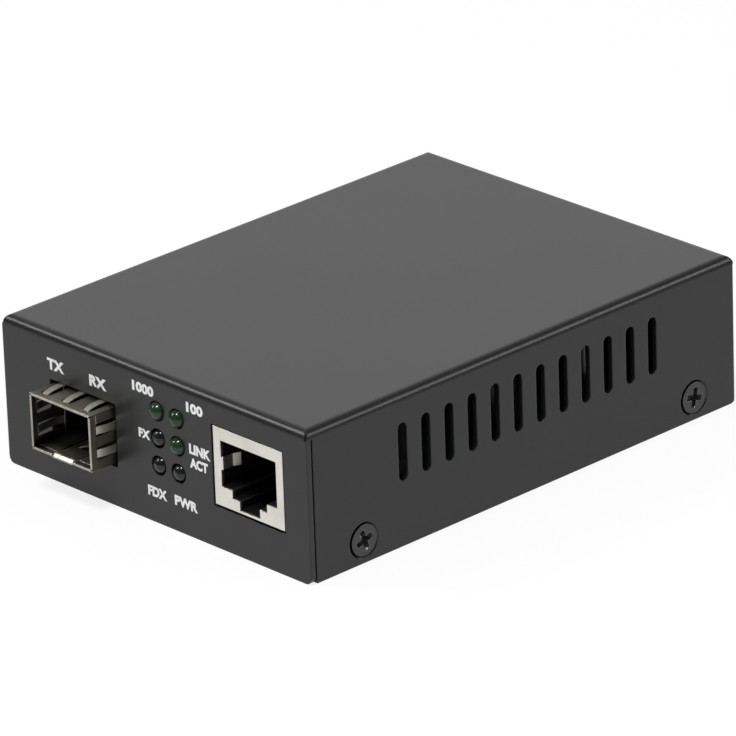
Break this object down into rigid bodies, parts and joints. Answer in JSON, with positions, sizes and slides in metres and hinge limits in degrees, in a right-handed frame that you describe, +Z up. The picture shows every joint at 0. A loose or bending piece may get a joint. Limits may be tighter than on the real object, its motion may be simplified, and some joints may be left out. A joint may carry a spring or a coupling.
{
  "type": "fibre media converter",
  "caption": "Small folded-steel box that converts copper Ethernet to fibre: cage port with spring collar, keyed copper port, status lamps, side vents and a rear power inlet.",
  "frame": {"origin": "centre of the case's footprint on its underside", "axes": "+Z up, the port panel faces -Y and the power inlet faces +Y, +X is to the right seen from the port panel"},
  "size_m": [0.071, 0.101, 0.026],
  "materials": {
    "case_paint": "dark grey powder coat, fine satin texture",
    "screw_black": "black coated steel",
    "bright_steel": "plated steel",
    "board_green": "green solder mask on glass laminate",
    "cage_nickel": "warm grey plated spring sheet",
    "shield_tin": "pale tin plate",
    "port_black": "black moulded plastic",
    "contact_gold": "gold plated contacts",
    "lamp_green": "green tinted epoxy",
    "lamp_clear": "smoky clear epoxy",
    "chip_black": "moulded package",
    "capacitor_sleeve": "glossy dark sleeve shrunk over the capacitor cans",
    "ferrite_grey": "ferrite composite",
    "print_white": "white screen print"
  },
  "bodies": {
    "root": {"top_cover": "case_paint", "base_plate": "case_paint", "cover_screws": "screw_black", "board_standoffs": "bright_steel", "board_screws": "bright_steel", "circuit_board": "board_green", "sfp_cage_body": "cage_nickel", "sfp_cage_base": "cage_nickel", "sfp_spring_collar": "cage_nickel", "sfp_connector": "port_black", "sfp_contacts": "contact_gold", "rj45_shield": "shield_tin", "rj45_housing": "port_black", "rj45_contacts": "contact_gold", "led_duplex": "lamp_clear", "led_power": "lamp_clear", "led_fibre_link": "lamp_clear", "led_link": "lamp_green", "led_speed_high": "lamp_green", "led_speed_low": "lamp_green", "led_duplex_leads": "bright_steel", "led_power_leads": "bright_steel", "led_fibre_link_leads": "bright_steel", "led_link_leads": "bright_steel", "led_speed_high_leads": "bright_steel", "led_speed_low_leads": "bright_steel", "dc_jack_housing": "port_black", "dc_jack_pin": "bright_steel", "dc_jack_spring": "bright_steel", "converter_chip": "chip_black", "converter_chip_leads": "bright_steel", "line_transformer": "chip_black", "line_transformer_leads": "bright_steel", "memory_chip": "chip_black", "memory_chip_leads": "bright_steel", "voltage_regulator": "chip_black", "crystal_can": "bright_steel", "power_inductor": "ferrite_grey", "filter_capacitors": "capacitor_sleeve"}
  },
  "joints": []
}
